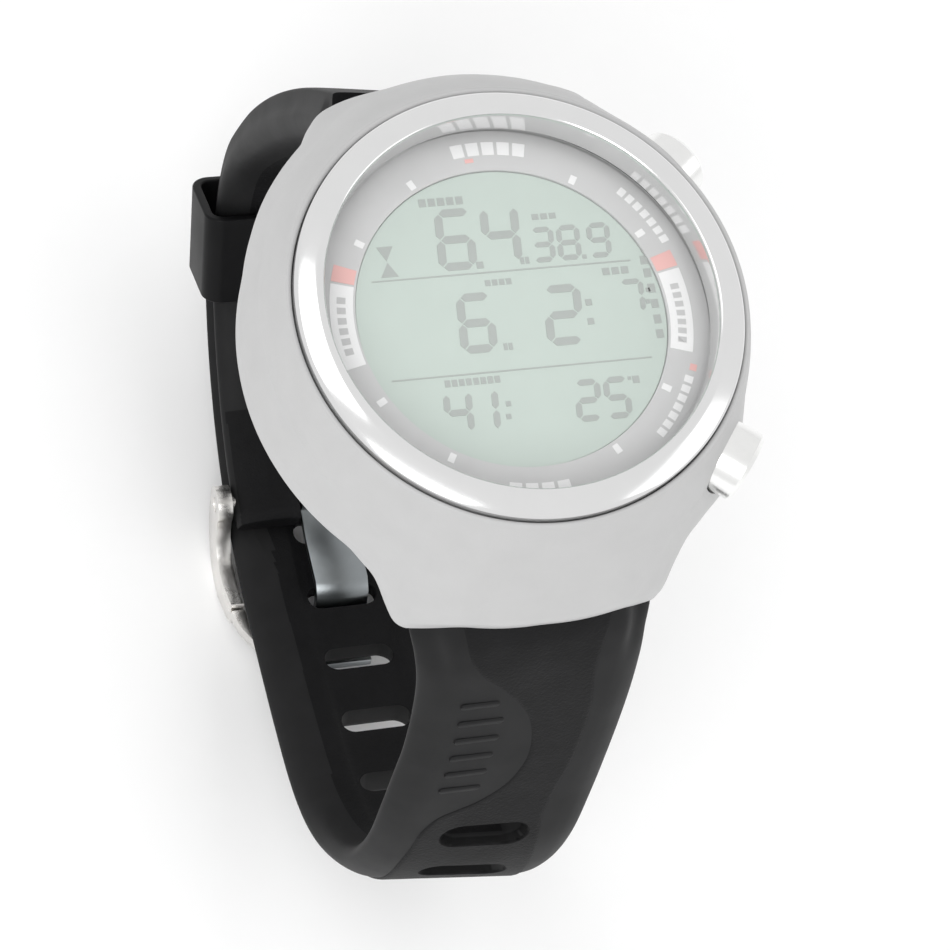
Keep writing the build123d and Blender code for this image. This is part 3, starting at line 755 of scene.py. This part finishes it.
def digit(char, x, y, w, h, stroke, slant=0.09):
    """Seven-segment digit whose lower-left corner is at (x, y)."""
    t, gap = stroke, 0.07 * stroke + 0.05
    mid = h / 2

    def bar(x0, y0, x1, y1):
        """One segment from its start to its end, with pointed ends."""
        dx, dy = x1 - x0, y1 - y0
        size = hypot(dx, dy)
        ux, uy = dx / size, dy / size
        half = t / 2
        line = [(gap, 0), (gap + half, half), (size - gap - half, half), (size - gap, 0),
                (size - gap - half, -half),
                (gap + half, -half)]
        corners = [(x0 + ux * a - uy * b, y0 + uy * a + ux * b) for a, b in line]
        lcd_plate([(x + px + slant * py, y + py) for px, py in corners])

    left, right, low, high = t / 2, w - t / 2, t / 2, h - t / 2
    ends = {"a": (left, high, right, high), "b": (right, high, right, mid), "c": (right, mid, right, low),
            "d": (left, low, right, low), "e": (left, mid, left, low), "f": (left, high, left, mid),
            "g": (left, mid, right, mid)}
    for name in SEGMENTS[char]:
        bar(*ends[name])


def rectangle(x, y, w, h, slant=0.0):
    lcd_plate([(x, y), (x + w, y), (x + w + slant * h, y + h), (x + slant * h, y + h)])


DIGITS = [("6", -7.35, 6.2, 4.5, 7.5, 0.95), ("4", -2.0, 6.35, 4.5, 7.4, 0.95),
          ("3", 3.65, 6.3, 2.75, 4.3, 0.62),
          ("8", 6.75, 6.3, 2.75, 4.3, 0.62), ("9", 10.35, 6.3, 2.75, 4.3, 0.62),
          ("6", -6.75, -3.9, 4.3, 7.2, 0.95),
          ("2", 3.35, -3.9, 4.5, 7.3, 0.95), ("7", 12.75, -0.95, 2.9, 4.3, 0.62),
          ("4", -10.25, -13.3, 3.3, 5.2, 0.75),
          ("1", -6.95, -13.4, 3.0, 5.3, 0.75), ("2", 4.9, -13.2, 3.1, 5.0, 0.72),
          ("5", 8.35, -13.2, 3.1, 5.0, 0.72)]
for entry in DIGITS:
    digit(*entry)
for x, y, size in ((-2.95, 6.2, 0.8), (9.55, 6.3, 0.5), (8.75, 0.6, 0.75), (8.55, -1.7, 0.75),
                   (16.15, 1.6, 0.5),
                   (15.85, 0.2, 0.5), (-2.85, -10.5, 0.6), (-3.1, -12.0, 0.6)):
    rectangle(x, y, size, size)
lcd_plate([(-14.05, 9.75), (-13.15, 8.0), (-12.15, 9.75)])
lcd_plate([(-14.15, 6.05), (-12.1, 6.05), (-13.1, 7.8)])
rectangle(-15.3, 5.55, 30.4, 0.16)
rectangle(-15.2, -6.38, 30.3, 0.16)
for index, y in enumerate((5.0, 3.4, 1.5, -0.4, -2.3, -4.1)):
    rectangle(16.25 + 0.09 * (2.5 - abs(index - 2.5)), y, 0.85, 1.05)
for x, y, count, w, h in ((-8.2, 14.2, 5, 0.82, 0.95), (4.6, 11.55, 3, 0.78, 0.7), (-2.4, 4.0, 4, 0.62, 0.7),
                          (11.5, 4.1, 3, 0.85, 0.85), (-9.3, -7.6, 4, 0.62, 0.8), (-6.0, -7.6, 4, 0.62, 0.8),
                          (2.2, 6.3, 2, 0.45, 0.8), (-1.75, -3.85, 2, 0.45, 0.8), (12.3, -9.2, 1, 0.8, 0.85)):
    for k in range(count):
        rectangle(x + k * w * 1.32, y, w, h)
rectangle(11.75, -8.75, 0.4, 0.4)
joined("display_segments", display)

# ---------------------------------------------------------------- stage, light and camera
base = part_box("buckle_frame")[0].z
bpy.ops.mesh.primitive_plane_add(size=6, location=(0, 0, base))
floor = bpy.context.object
floor.name = "floor"
paint(floor, surface("floor_paper", (0.97, 0.97, 0.97), 0.004, (0.8, 0.9), grain=(400, 0.02, 0.00002)))

world = bpy.data.worlds.new("studio")
bpy.context.scene.world = world
world.use_nodes = True
sky = world.node_tree.nodes["Background"]
sky.inputs["Color"].default_value = (1, 1, 1, 1)
sky.inputs["Strength"].default_value = 0.9


def softbox(name, place, aim, size, power):
    light = bpy.data.lights.new(name, "AREA")
    light.shape = "RECTANGLE"
    light.size, light.size_y = size
    light.energy = power
    obj = bpy.data.objects.new(name, light)
    bpy.context.scene.collection.objects.link(obj)
    obj.location = place
    obj.rotation_mode = "QUATERNION"
    obj.rotation_quaternion = (Vector(aim) - Vector(place)).to_track_quat("-Z", "Y")


softbox("key", (-0.45, 0.25, 0.75), (0, 0, -0.03), (0.5, 0.5), 0.8)
softbox("fill", (-0.32, -0.42, 0.5), (0, 0, -0.04), (0.4, 0.4), 1.7)
softbox("right_side", (0.7, -0.3, 0.4), (0, 0, -0.03), (0.5, 0.5), 0.5)

CAMERA_PLACE = (-0.110568, -0.134866, 0.349213)
CAMERA_LENS = 128.8
CAMERA_ROWS = Matrix(((0.95608922, -0.18631052, 0.22623391), (-0.0981281, -0.93087758, -0.35190598),
                      (0.27615986, 0.31425361, -0.90828432)))
camera = bpy.data.objects.new("camera", bpy.data.cameras.new("camera"))
bpy.context.scene.collection.objects.link(camera)
right, down, forward = CAMERA_ROWS
turn = Matrix((right, -down, -forward)).transposed()
camera.matrix_world = Matrix.Translation(CAMERA_PLACE) @ turn.to_4x4()
camera.data.lens = CAMERA_LENS
camera.data.sensor_width = 36
camera.data.clip_start = 0.01
camera.data.clip_end = 20
bpy.context.scene.camera = camera
bpy.context.scene.view_settings.view_transform = "Standard"
